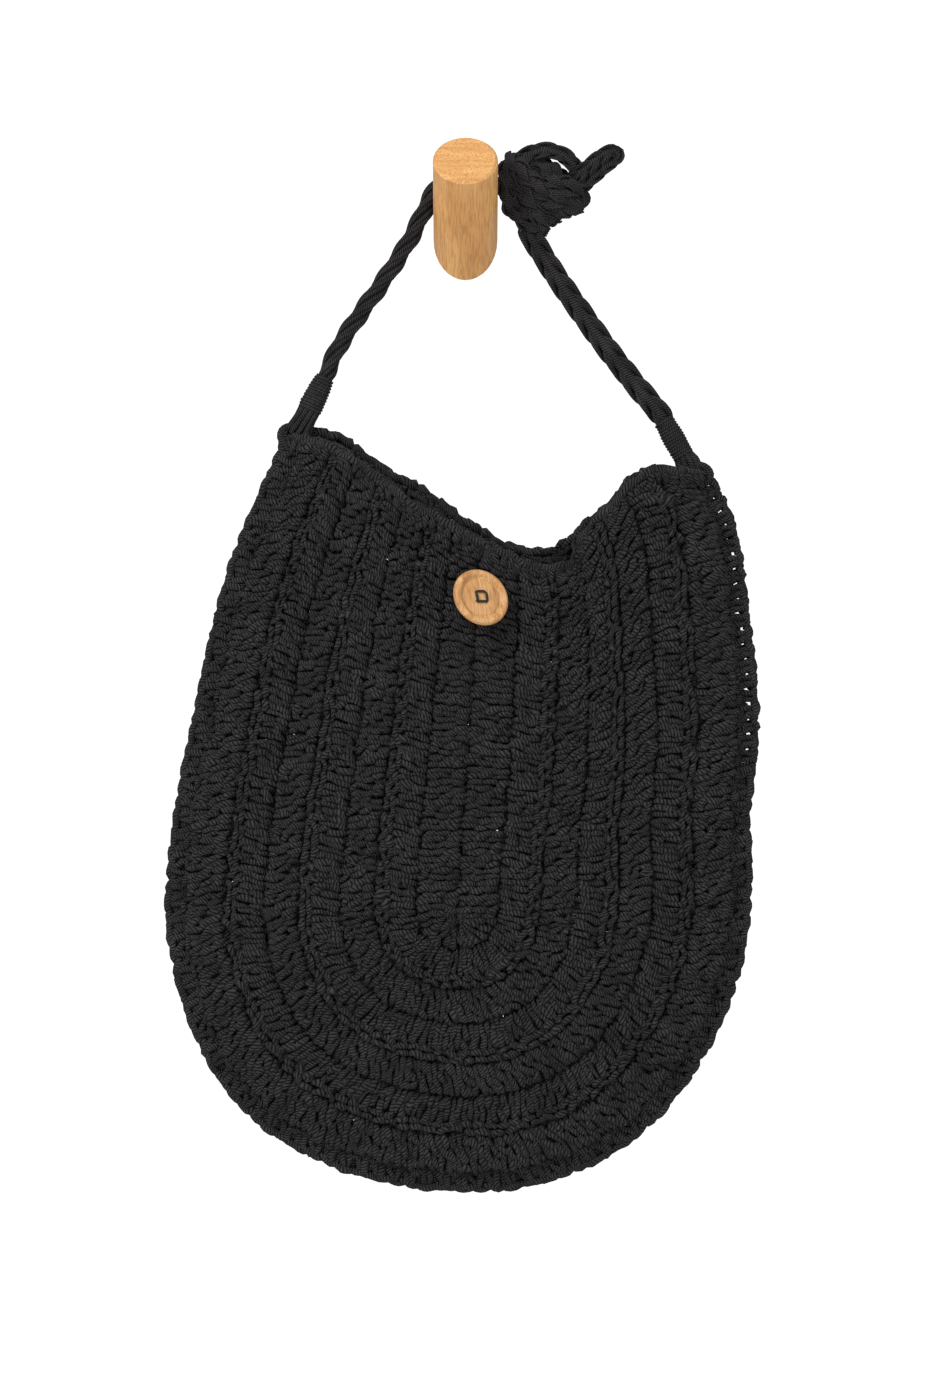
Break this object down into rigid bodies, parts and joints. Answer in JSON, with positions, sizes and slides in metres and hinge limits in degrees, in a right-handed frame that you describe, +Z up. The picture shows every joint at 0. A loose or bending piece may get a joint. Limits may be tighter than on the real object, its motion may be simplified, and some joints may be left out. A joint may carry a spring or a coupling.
{
  "type": "crochet shoulder bag on a wooden wall peg",
  "caption": "Rounded black crochet shoulder bag with a sagging open mouth, a wooden button and a braided strap knotted beside the slanted wooden wall peg that it hangs from.",
  "frame": {"origin": "middle of the peg's back end, on the wall that it stands out from", "axes": "+Z up, +Y into the wall, +X to the right of someone facing the bag"},
  "size_m": [0.2776, 0.051, 0.4899],
  "materials": {
    "peg_wood": "warm beech, fine straight grain, bare and smooth",
    "yarn": "charcoal black cotton yarn, matt and slightly hairy",
    "button_wood": "pale turned wood with a satin sheen",
    "thread": "black sewing thread"
  },
  "bodies": {
    "root": {"wall_peg": "peg_wood", "front_panel": "yarn", "back_panel": "yarn", "front_rim": "yarn", "back_rim": "yarn", "edging": "yarn", "left_braid": "yarn", "right_braid": "yarn", "left_wrap": "yarn", "right_wrap": "yarn", "knot_body": "yarn", "knot_loop": "yarn", "knot_tail": "yarn", "button": "button_wood", "button_thread": "thread"}
  },
  "joints": []
}
